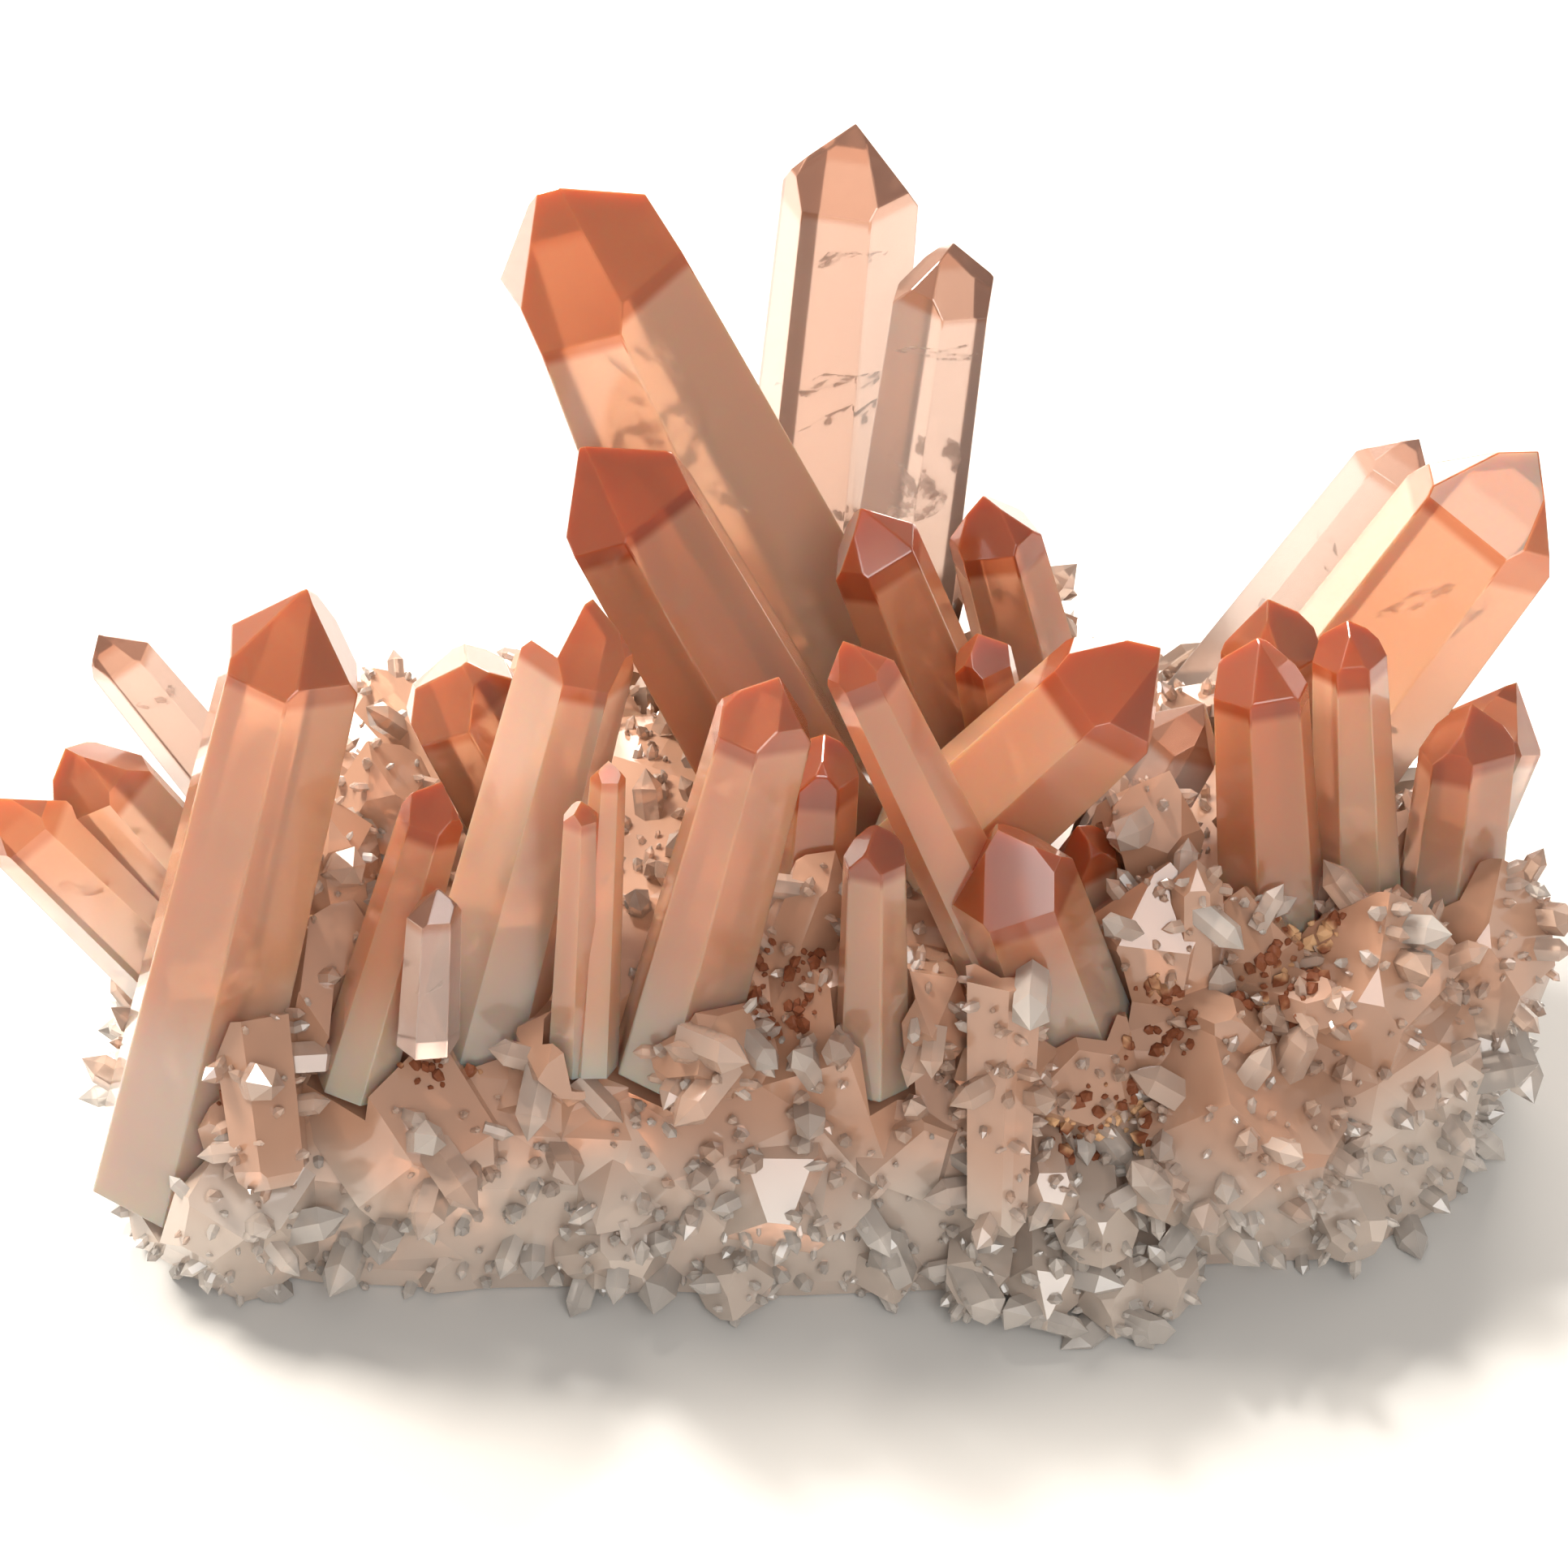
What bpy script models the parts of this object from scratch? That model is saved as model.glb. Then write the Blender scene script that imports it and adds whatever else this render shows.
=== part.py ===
"""A hematoid quartz cluster: iron-stained quartz points on a drusy matrix.

Each point is a hexagonal prism with six end faces. It is cut from a block by planes, one for each crystal
face, as the real faces are planes at fixed angles to the long axis. Sizes below are in millimetres.
+X is to the right, +Y away from the front, +Z up, and the origin is in the middle of the resting face.
"""

import math
import random

import bmesh
import bpy
from mathutils import Matrix, Vector, noise

MM = 0.001
GAP = 0.3
FACES = 6
END_ANGLE = math.radians(51.8)
TAPER = math.radians(1.5)
STRONG_TAPER = math.radians(5)
# How far end faces miss the tip and how unlike the sides are, as shares of the width.
BLUNT = 0.12
UNEVEN = 0.12
# Three end faces are large and the three between them are small, as on most quartz.
END_SHARE = (0.3, 2.3)
# The steepest slope of a broken or worn tip.
WORN_SLOPE = 0.25

# Free-standing points. Each row is one crystal: foot, tip, width, turn about its own axis in degrees.
# A node with more than one row is a group of crystals that grew through each other.
BACK_POINTS = {
    "tall_back_point": [((1.2, 19.2, 8.0), (3.5, 21.0, 37.6), 6.4, 12)],
    "back_right_point": [((5.7, 13.8, 8.0), (8.3, 16.0, 34.0), 5.4, 40)],
    "great_point": [((1.6, 5.4, 11.0), (-10.4, 7.6, 41.9), 10.2, 0)],
    "right_back_point": [((14.4, 5.0, 8.0), (9.6, 6.0, 26.0), 4.2, 0)],
    "hind_left_point": [((-6.0, 12.5, 4.0), (-6.5, 20.0, 12.5), 4.6, 10)],
    "hind_right_point": [((11.5, 12.0, 3.0), (11.0, 20.5, 12.0), 4.4, 35)],
}
MIDDLE_POINTS = {
    "second_point": [((3.0, -6.0, 11.5), (-8.8, -1.2, 33.8), 6.2, 0)],
    "glitter_tip_point": [((11.0, -0.4, 9.0), (3.6, 0.0, 29.5), 4.5, 30)],
    "small_amber_point": [((11.7, -3.9, 12.0), (8.9, -4.4, 25.6), 2.7, 15)],
    "cross_right_point": [((6.8, -9.0, 16.0), (16.7, -8.4, 27.8), 5.4, 10)],
    "broken_point": [((-10.8, -4.5, 11.5), (-16.5, -2.0, 23.4), 5.8, 10)],
    "tucked_point": [((1.0, -12.5, 12.0), (1.8, -10.0, 24.2), 3.3, 45)],
    "dark_mid_point": [((16.4, -10.6, 7.0), (13.6, -8.8, 17.8), 3.2, 0)],
}
FRONT_POINTS = {
    "parallel_points": [
        ((11.2, -15.5, 12.0), (2.6, -12.0, 31.0), 3.2, 25),
        ((13.8, -15.0, 9.0), (9.4, -15.2, 23.0), 5.4, 5),
    ],
    "front_centre_point": [((-5.2, -17.5, 11.0), (-0.3, -14.2, 30.8), 4.1, 0)],
    "left_centre_point": [((-14.5, -15.5, 9.0), (-8.4, -8.0, 30.2), 5.2, 18)],
    "slim_points": [
        ((-8.7, -18.7, 12.0), (-7.5, -16.0, 27.6), 1.7, 0),
        ((-9.6, -18.6, 12.0), (-8.7, -17.0, 26.2), 1.6, 30),
    ],
    "centre_rod": [((4.0, -18.6, 11.0), (4.0, -16.0, 24.0), 2.7, 10)],
}
LEFT_POINTS = {
    "left_great_point": [((-29.0, -17.6, 4.0), (-20.2, -13.0, 34.5), 6.1, 8)],
    "left_clear_point": [((-22.7, -3.6, 8.0), (-31.6, -3.6, 24.9), 3.2, 20)],
    "left_twin": [
        ((-24.2, -8.2, 6.0), (-33.0, -7.4, 21.2), 4.5, 0),
        ((-26.2, -10.4, 6.0), (-35.9, -10.2, 20.6), 4.0, 25),
    ],
    "small_left_point": [((-19.6, -18.8, 11.0), (-15.0, -14.0, 24.8), 2.9, 0)],
    "window_point": [((-15.8, -19.3, 14.0), (-15.0, -18.2, 22.3), 2.2, 20)],
}
RIGHT_POINTS = {
    "right_outer_great": [((22.0, 1.6, 6.0), (35.4, 4.5, 29.6), 7.4, 12)],
    "right_clear_point": [((19.5, 8.6, 6.0), (31.2, 10.8, 26.0), 3.9, 30)],
    "right_short_point": [((23.8, -5.2, 10.0), (22.5, -1.6, 25.4), 4.3, 0)],
    "right_front_point": [((23.2, -10.6, 10.0), (21.4, -6.0, 26.6), 4.3, 20)],
    "right_slim_point": [((27.4, -8.8, 10.0), (25.8, -4.0, 26.0), 3.4, 10)],
    "right_pale_slab": [((13.9, -5.8, 9.0), (19.6, -4.2, 21.4), 3.9, 0)],
    "right_side_point": [((31.6, -8.4, 6.5), (32.3, -3.6, 20.8), 4.2, 15)],
    "right_edge_point": [((32.0, -1.0, 7.0), (36.0, 3.0, 16.8), 4.2, 0)],
}
TAPERED = {"great_point": STRONG_TAPER}
BROKEN = {"broken_point": 0.25}
# How far each of the six end faces misses the tip, as a share of the width, where it isn't left to chance.
# The first face is the front one, and the others follow it anticlockwise.
ENDS = {
    "great_point_0": (0.0, 0.02, 0.4, 0.0, 0.16, 0.1),
    "second_point_0": (0.03, 0.0, 0.3, 0.0, 0.2, 0.1),
}

# The bed is lumps of rock grown together: centre, and half-sizes along X, Y and Z.
LUMPS = [
    ((-14, -8.5, 1), (18, 13, 13)),
    ((0, -6, 1), (18, 15.6, 14.5)),
    ((16, -5.5, 1), (18.5, 14.6, 13)),
    ((3, 10, 1), (14.5, 13.5, 12)),
    ((20, 3, 1), (13, 11, 11)),
]
LUMP_BUMP = 1.1
LUMP_GRAIN = 4.0
LUMP_ROUNDNESS = 0.65
# What the bed ends on below, as a centre and sizes.
GROUND = ((0.0, 0.0, -20.0), (120.0, 120.0, 40.0))
# The hollows where rock broke away there: centre and half-sizes.
HOLLOWS = [
    ((-22.0, -9.0, -2.6), (6.5, 8.0, 3.6)),
    ((-9.5, -12.5, -2.8), (5.0, 5.5, 3.8)),
    ((9.5, -8.5, -2.7), (5.6, 7.0, 3.9)),
    ((22.5, -5.5, -2.6), (7.5, 6.5, 3.8)),
    ((3.5, 13.0, -2.8), (7.0, 6.0, 3.8)),
    ((-7.0, 0.5, -3.0), (4.2, 3.6, 3.8)),
]

# Large stubs of the druse at the front: foot, tip, width, turn. Their tips are worn off square.
FRONT_STUBS = [
    ((-23.0, -15.0, 6.0), (-28.6, -24.0, 1.4), 8.2, 0),
    ((-24.0, -14.0, 8.0), (-26.0, -22.4, 9.2), 5.4, 20),
    ((-23.8, -18.0, 14.5), (-22.8, -23.2, 7.4), 3.2, 10),
    ((-22.5, -12.0, 13.5), (-13.0, -22.4, 3.8), 8.6, 40),
    ((-11.0, -12.0, 8.0), (-11.6, -22.2, 9.2), 6.6, 0),
    ((-8.0, -14.0, 8.0), (-7.6, -23.8, 0.6), 5.4, 15),
    ((-4.8, -14.0, 9.0), (-5.2, -21.0, 12.8), 3.6, 0),
    ((2.5, -12.0, 9.0), (1.6, -23.0, 10.6), 9.8, 15),
    ((0.0, -13.0, 6.5), (-0.2, -24.2, 4.0), 6.8, 30),
    ((5.5, -13.0, 8.0), (5.8, -22.6, 7.4), 4.8, 0),
    ((9.8, -18.0, 17.0), (9.7, -22.6, 4.6), 3.0, 0),
    ((11.5, -16.0, 8.0), (12.2, -23.4, 6.4), 2.9, 25),
    ((13.0, -12.0, 8.0), (13.6, -21.2, 12.0), 6.2, 10),
    ((20.0, -11.0, 8.5), (22.0, -24.6, 4.0), 9.4, 8),
    ((24.0, -14.0, 5.0), (27.2, -22.0, 1.8), 3.4, 0),
    ((27.0, -9.0, 6.0), (30.2, -18.2, 5.0), 7.4, 25),
    ((31.0, -7.0, 5.0), (35.4, -13.8, 4.6), 6.2, 0),
]
TEETH = [
    ((10.0, -15.0, 4.0), (8.6, -24.2, 1.3), 3.2, 0),
    ((12.5, -15.0, 3.0), (12.0, -24.8, 1.1), 3.4, 20),
    ((15.0, -15.0, 3.0), (15.2, -25.0, 0.8), 3.2, 45),
    ((17.0, -15.0, 3.0), (17.8, -24.4, 1.4), 3.0, 10),
    ((14.0, -15.0, 6.0), (14.4, -24.0, 4.4), 3.6, 30),
    ((17.0, -15.0, 6.0), (17.2, -23.2, 6.6), 3.0, 0),
]
# Stubs on top of the bed, between the points.
TOP_STUBS = [
    ((-17.5, -8.0, 8.0), (-19.3, -6.0, 20.5), 4.6, 0),
    ((-19.5, -14.0, 8.0), (-21.0, -10.5, 21.0), 4.2, 30),
    ((-15.3, -13.0, 14.0), (-10.8, -18.0, 17.2), 2.8, 15),
    ((-1.5, -15.0, 9.0), (2.2, -12.8, 20.0), 3.2, 0),
    ((16.5, -13.0, 7.0), (17.5, -12.0, 18.3), 5.6, 10),
    ((19.4, -14.5, 9.0), (18.6, -13.0, 19.3), 2.2, 0),
    ((22.0, -13.0, 7.0), (21.0, -12.0, 16.8), 4.8, 25),
    ((26.0, -12.0, 4.0), (27.6, -12.6, 17.0), 8.0, 12),
    ((31.5, -8.0, 3.0), (33.6, -8.4, 15.2), 7.2, 0),
    ((15.5, -9.0, 8.0), (17.8, -7.4, 19.8), 4.8, 5),
]
FRONT_WEAR = 0.3

# Small stubs are spread in rings round the bed. Each ring has a centre, half-sizes along X and Y, the angles
# it runs between, a height, how many stubs, and how far out and up their tips reach.
RINGS = [
    ((1, -5), (29, 14), (0, 360), 1.8, 34, 5.0, -0.6),
    ((1, -5), (29, 14), (0, 360), 5.5, 30, 4.6, 0.6),
    ((1, -5), (29, 14), (0, 360), 10.5, 26, 3.4, 3.0),
    ((3, 10.5), (12.5, 12), (-10, 190), 2.2, 18, 3.6, -0.4),
    ((3, 10.5), (12.5, 12), (-10, 190), 5.6, 15, 3.4, 1.0),
    ((3, 10.5), (11, 10), (-10, 190), 9.2, 12, 2.6, 2.6),
    ((20, 3), (11.5, 9.5), (-50, 120), 2.4, 13, 3.4, -0.2),
    ((20, 3), (11.5, 9.5), (-50, 120), 5.8, 11, 3.0, 1.2),
]
RING_ROOT = 7.0
RING_WIDTH = (2.6, 4.8)
RING_SPREAD = 0.4
RING_SHORTEST = 0.6
RING_SWING = 1.5
RING_RISE = 1.0
RING_SEED = 12
SMALLEST_HEIGHT = 0.6


def clear_scene():
    for found in list(bpy.data.objects):
        bpy.data.objects.remove(found)


def new_collection(name, parent):
    made = bpy.data.collections.new(name)
    parent.children.link(made)
    return made


def quartz(name, colour, roughness):
    """A plain stand-in material for clear or stained quartz."""
    material = bpy.data.materials.new(name)
    material.use_nodes = True
    shader = material.node_tree.nodes["Principled BSDF"]
    shader.inputs["Base Color"].default_value = (*colour, 1)
    shader.inputs["Roughness"].default_value = roughness
    shader.inputs["Transmission Weight"].default_value = 0.6
    shader.inputs["IOR"].default_value = 1.54
    material.diffuse_color = (*colour, 1)
    return material


def cut_face(bm, through, outward):
    """Cuts the block off flat at one crystal face and closes it."""
    whole = bm.verts[:] + bm.edges[:] + bm.faces[:]
    cut = bmesh.ops.bisect_plane(
        bm, geom=whole, plane_co=through, plane_no=outward, clear_outer=True, dist=1e-5
    )
    rim = [item for item in cut["geom_cut"] if isinstance(item, bmesh.types.BMEdge)]
    if len(rim) > 2:
        bmesh.ops.contextual_create(bm, geom=rim)


def quartz_point(name, foot, tip, width, turn=0, taper=TAPER, wear=0.0, grow=0.0):
    """The mesh of one crystal. wear is how much of the tip is broken off, as a share of the width, and grow
    moves every face outwards, for the socket that the crystal stands in."""
    chance = random.Random(name)
    ends = ENDS.get(name)
    foot, tip = Vector(foot), Vector(tip)
    length = (tip - foot).length
    bm = bmesh.new()
    bmesh.ops.create_cube(bm, size=1)
    block = Matrix.Diagonal((width * 3, width * 3, length + 2 * grow + 2 * width, 1))
    lift = Matrix.Translation((0, 0, length / 2 + width - grow))
    bmesh.ops.transform(bm, matrix=lift @ block, verts=bm.verts)
    for face in range(FACES):
        angle = math.radians(turn) + face * math.tau / FACES
        out = Vector((math.cos(angle), math.sin(angle), 0))
        reach = width / 2 * (1 + UNEVEN * chance.uniform(-1, 1)) + grow
        side = out * math.cos(taper) + Vector((0, 0, math.sin(taper)))
        cut_face(bm, Vector((0, 0, length / 2)) + out * reach, side)
        miss = ends[face] if ends else BLUNT * chance.random() * END_SHARE[face % 2]
        end = out * math.sin(END_ANGLE) + Vector((0, 0, math.cos(END_ANGLE)))
        cut_face(bm, Vector((0, 0, length + miss * width)) + end * grow, end)
    if wear:
        worn = Vector((chance.uniform(-WORN_SLOPE, WORN_SLOPE), chance.uniform(-WORN_SLOPE, WORN_SLOPE), 1))
        cut_face(bm, Vector((0, 0, length - wear * width + grow)), worn.normalized())
    stand = (tip - foot).to_track_quat("Z", "Y").to_matrix().to_4x4()
    bmesh.ops.transform(bm, matrix=Matrix.Translation(foot) @ stand, verts=bm.verts)
    bmesh.ops.recalc_face_normals(bm, faces=bm.faces[:])
    return bm


def rock_lump(centre, half, seed, detail=3):
    """A lumpy boulder: a sphere squared off a little and roughened along its normals."""
    bm = bmesh.new()
    bmesh.ops.create_icosphere(bm, subdivisions=detail, radius=1)
    for vert in bm.verts:
        squared = [math.copysign(abs(part) ** LUMP_ROUNDNESS, part) for part in vert.co]
        place = Vector(part * size for part, size in zip(squared, half)) + Vector(centre)
        rough = noise.noise(place / LUMP_GRAIN + Vector((seed, seed, seed)))
        vert.co = place + vert.normal * rough * LUMP_BUMP
    return bm


def add_object(name, bm, collection, material=None):
    """Turns millimetre geometry into an object in metres."""
    bmesh.ops.scale(bm, vec=(MM, MM, MM), verts=bm.verts)
    mesh = bpy.data.meshes.new(name)
    bm.to_mesh(mesh)
    bm.free()
    if material:
        mesh.materials.append(material)
    made = bpy.data.objects.new(name, mesh)
    collection.objects.link(made)
    return made


def add_helper(name, bm, collection):
    made = add_object(name, bm, collection)
    made.hide_render = True
    made.display_type = "WIRE"
    return made


def boolean(obj, operation, others):
    """others is an object or a collection of them."""
    modifier = obj.modifiers.new(operation.lower(), "BOOLEAN")
    modifier.operation = operation
    modifier.solver = "EXACT"
    if isinstance(others, bpy.types.Collection):
        modifier.operand_type = "COLLECTION"
        modifier.collection = others
    else:
        modifier.object = others


def grow_points(name, rows, cluster, helpers, cutters, material):
    """One named node of one or more crystals, and the sockets that they stand in."""
    taper = TAPERED.get(name, TAPER)
    wear = BROKEN.get(name, 0.0)
    for index, (foot, tip, width, turn) in enumerate(rows):
        label = f"{name}_{index}"
        crystal = quartz_point(label, foot, tip, width, turn, taper, wear)
        if index == 0:
            node = add_object(name, crystal, cluster, material)
        else:
            boolean(node, "UNION", add_helper(label, crystal, helpers))
        socket = quartz_point(label, foot, tip, width, turn, taper, grow=GAP)
        add_helper(label + "_socket", socket, cutters)


def ring_stubs():
    """Small crystals that point outwards all round the bed, as foot, tip, width and turn."""
    chance = random.Random(RING_SEED)
    for centre, half, (first, last), height, count, reach, rise in RINGS:
        for step in range(count):
            share = (step + chance.uniform(-RING_SPREAD, RING_SPREAD)) / count
            angle = math.radians(first + (last - first) * share)
            out = Vector((math.cos(angle), math.sin(angle), 0))
            edge = Vector((centre[0] + out.x * half[0], centre[1] + out.y * half[1], height))
            edge.z += chance.uniform(-RING_RISE, RING_RISE)
            tip = edge + out * reach * chance.uniform(RING_SHORTEST, 1)
            tip.x += chance.uniform(-RING_SWING, RING_SWING)
            tip.y += chance.uniform(-RING_SWING, RING_SWING)
            tip.z = max(tip.z + rise + chance.uniform(-RING_RISE, RING_RISE), SMALLEST_HEIGHT)
            turn = chance.uniform(0, 360 / FACES)
            yield edge - out * RING_ROOT, tip, chance.uniform(*RING_WIDTH), turn


def largest_island(bm):
    """Removes the crumbs that the sockets cut loose from the bed."""
    left = set(bm.verts)
    islands = []
    while left:
        reached = [left.pop()]
        island = set(reached)
        while reached:
            for edge in reached.pop().link_edges:
                for vert in edge.verts:
                    if vert in left:
                        left.discard(vert)
                        island.add(vert)
                        reached.append(vert)
        islands.append(island)
    keep = max(islands, key=len)
    bmesh.ops.delete(bm, geom=[vert for vert in bm.verts if vert not in keep], context="VERTS")


def ground_block():
    """The block whose top is the plane that the cluster rests on."""
    centre, size = GROUND
    bm = bmesh.new()
    bmesh.ops.create_cube(bm, size=1, matrix=Matrix.Translation(centre) @ Matrix.Diagonal((*size, 1)))
    return bm


def build_matrix(cluster, helpers, lumps, cutters, material):
    """The bed: lumps and stubs joined, then cut by the sockets of the points, the ground and the hollows."""
    for index, (centre, half) in enumerate(LUMPS[1:], 1):
        add_helper(f"lump_{index}", rock_lump(centre, half, index), lumps)
    for index, (foot, tip, width, turn) in enumerate(FRONT_STUBS):
        stub = quartz_point(f"front_{index}", foot, tip, width, turn, wear=FRONT_WEAR)
        add_helper(f"front_{index}", stub, lumps)
    for index, (foot, tip, width, turn) in enumerate([*TEETH, *TOP_STUBS, *ring_stubs()]):
        stub = quartz_point(f"stub_{index}", foot, tip, width, turn)
        add_helper(f"stub_{index}", stub, lumps)
    rough = add_helper("rough_matrix", rock_lump(*LUMPS[0], 0), helpers)
    boolean(rough, "UNION", lumps)
    for index, (centre, half) in enumerate(HOLLOWS):
        add_helper(f"hollow_{index}", rock_lump(centre, half, index, 2), cutters)
    add_helper("ground", ground_block(), cutters)
    boolean(rough, "DIFFERENCE", cutters)
    graph = bpy.context.evaluated_depsgraph_get()
    bm = bmesh.new()
    bm.from_mesh(rough.evaluated_get(graph).to_mesh())
    largest_island(bm)
    bmesh.ops.scale(bm, vec=(1 / MM, 1 / MM, 1 / MM), verts=bm.verts)
    add_object("matrix", bm, cluster, material)
    bpy.data.objects.remove(rough)


def main():
    clear_scene()
    scene = bpy.context.scene.collection
    cluster = new_collection("hematoid_quartz_cluster", scene)
    lumps = new_collection("bed_pieces", scene)
    cutters = new_collection("cutters", scene)
    helpers = new_collection("joined_points", scene)
    stained = quartz("stained_quartz", (0.80, 0.42, 0.28), 0.2)
    pale = quartz("pale_quartz", (0.86, 0.66, 0.55), 0.25)
    for group in (BACK_POINTS, MIDDLE_POINTS, FRONT_POINTS, LEFT_POINTS, RIGHT_POINTS):
        for name, rows in group.items():
            grow_points(name, rows, cluster, helpers, cutters, stained)
    build_matrix(cluster, helpers, lumps, cutters, pale)


main()
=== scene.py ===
# %% [markdown]
# # A hematoid quartz cluster
#
# The real object is a handful of quartz points, stained salmon to red-brown by iron, that stand on a bed
# of small blocky crystals. This notebook puts finishes and fine detail on the solids that were made in
# CAD. Lengths on the stone are in millimetres, as a collector would measure them, and become metres once,
# when a mesh is written. The camera, the lights and the floor are in metres.

# %% Load the CAD model and keep its box
import math
import random

import bmesh
import bpy
import numpy as np
from mathutils import Matrix, Vector, noise


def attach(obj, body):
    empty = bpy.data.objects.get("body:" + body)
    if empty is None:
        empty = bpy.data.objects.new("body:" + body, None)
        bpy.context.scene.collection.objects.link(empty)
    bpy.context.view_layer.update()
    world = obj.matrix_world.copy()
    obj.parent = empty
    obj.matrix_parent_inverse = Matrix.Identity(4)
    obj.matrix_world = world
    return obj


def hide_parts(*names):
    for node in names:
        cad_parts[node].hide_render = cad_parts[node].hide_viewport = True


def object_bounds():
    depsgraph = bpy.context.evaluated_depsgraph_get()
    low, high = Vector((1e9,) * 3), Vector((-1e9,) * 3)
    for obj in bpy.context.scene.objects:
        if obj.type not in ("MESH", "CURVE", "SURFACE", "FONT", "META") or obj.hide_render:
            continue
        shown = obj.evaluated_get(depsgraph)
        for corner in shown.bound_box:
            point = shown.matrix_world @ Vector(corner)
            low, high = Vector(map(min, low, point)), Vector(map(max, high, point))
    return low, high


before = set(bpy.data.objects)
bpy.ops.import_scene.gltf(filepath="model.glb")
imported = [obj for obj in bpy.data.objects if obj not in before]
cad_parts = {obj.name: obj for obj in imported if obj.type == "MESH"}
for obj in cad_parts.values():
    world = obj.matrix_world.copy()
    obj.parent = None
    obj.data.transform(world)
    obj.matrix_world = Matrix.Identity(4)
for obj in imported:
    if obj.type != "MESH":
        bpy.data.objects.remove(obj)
cad_box = [list(corner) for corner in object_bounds()]
MM = 0.001
print("CAD box", cad_box)

# %% [markdown]
# ## Camera, floor and light
#
# A cluster is photographed from above the front with a long lens, so that the points don't lean apart.
# The camera is placed by its height and distance and by one focal length. A pale floor and large soft
# lights give clear stone something bright to bend, and one small light puts glints on its faces.


# %% A helper that links a new object
def link_object(name, data):
    """Puts a camera, a light or a mesh into the scene, at the origin."""
    made = bpy.data.objects.new(name, data)
    bpy.context.collection.objects.link(made)
    return made


# %% Place the camera
CAMERA_PLACE = Vector((0.0, -0.1276, 0.120))
CAMERA_PITCH = math.radians(40)
CAMERA_LENS = 77.7
CAMERA_SENSOR = 36
NEAREST, FARTHEST = 0.001, 20


def add_camera():
    data = bpy.data.cameras.new("camera")
    data.lens = CAMERA_LENS
    data.sensor_width = CAMERA_SENSOR
    data.clip_start = NEAREST
    data.clip_end = FARTHEST
    camera = link_object("camera", data)
    camera.location = CAMERA_PLACE
    camera.rotation_euler = (math.radians(90) - CAMERA_PITCH, 0, 0)
    bpy.context.scene.camera = camera


add_camera()
print("camera height above the floor, mm:", CAMERA_PLACE.z / MM)

# %% Lay the floor
FLOOR_COLOUR = (0.64, 0.62, 0.59, 1)
FLOOR_HALF = 1.5
# A hair below the underside, so that the two never share a plane.
FLOOR_HEIGHT = -0.0001


def add_floor():
    mesh = bpy.data.meshes.new("floor")
    signs = [(-1, -1), (1, -1), (1, 1), (-1, 1)]
    mesh.from_pydata([(x * FLOOR_HALF, y * FLOOR_HALF, 0) for x, y in signs], [], [(0, 1, 2, 3)])
    material = bpy.data.materials.new("pale floor")
    material.use_nodes = True
    shader = material.node_tree.nodes["Principled BSDF"]
    shader.inputs["Base Color"].default_value = FLOOR_COLOUR
    shader.inputs["Roughness"].default_value = 0.7
    mesh.materials.append(material)
    floor = link_object("floor", mesh)
    floor.location.z = FLOOR_HEIGHT


add_floor()
print("floor side, m:", 2 * FLOOR_HALF)

# %% Hang the lights
# Each light: place, side, power in watts and colour. All of them face the cluster.
LIGHTS = {
    "window": ((-0.28, 0.14, 0.34), 0.14, 3.4, (1.0, 0.94, 0.86)),
    "sparkle": ((-0.12, 0.20, 0.36), 0.04, 1.1, (1.0, 0.97, 0.92)),
    "back_glow": ((0.06, 0.42, 0.20), 0.30, 2.4, (1.0, 0.92, 0.84)),
    "front_fill": ((0.10, -0.40, 0.34), 0.30, 1.5, (1.0, 0.98, 0.96)),
}
AIM = Vector((0, 0, 0.02))
AMBIENT = (1.0, 0.96, 0.91, 1)
AMBIENT_STRENGTH = 0.42


def add_light(name, place, size, power, colour):
    data = bpy.data.lights.new(name, "AREA")
    data.shape = "SQUARE"
    data.size = size
    data.energy = power
    data.color = colour
    light = link_object(name, data)
    light.location = place
    light.rotation_mode = "QUATERNION"
    light.rotation_quaternion = (AIM - Vector(place)).to_track_quat("-Z", "Y")


for name, row in LIGHTS.items():
    add_light(name, *row)
world = bpy.data.worlds.new("studio")
bpy.context.scene.world = world
world.use_nodes = True
world.node_tree.nodes["Background"].inputs["Color"].default_value = AMBIENT
world.node_tree.nodes["Background"].inputs["Strength"].default_value = AMBIENT_STRENGTH
bpy.context.scene.view_settings.view_transform = "Standard"
print(len(LIGHTS), "lights")

# %% Let light through the stone
# Light has to cross a crystal and leave it again, and five bounces are enough for that.
CYCLES_SETTINGS = {
    "max_bounces": 5,
    "transmission_bounces": 5,
    "glossy_bounces": 2,
    "diffuse_bounces": 1,
    "transparent_max_bounces": 8,
    "volume_bounces": 0,
    "caustics_reflective": False,
    "caustics_refractive": True,
    "sample_clamp_indirect": 4,
    "blur_glossy": 0.6,
    "use_denoising": True,
}
for label, value in CYCLES_SETTINGS.items():
    setattr(bpy.context.scene.cycles, label, value)
print(len(CYCLES_SETTINGS), "render settings")

# %% [markdown]
# ## A short way to write node trees
#
# A material is a tree of nodes. Adding nodes one at a time takes many lines, so this small helper adds a
# node, fills its inputs with numbers or with other nodes' outputs, and hands back what comes out.


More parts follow.
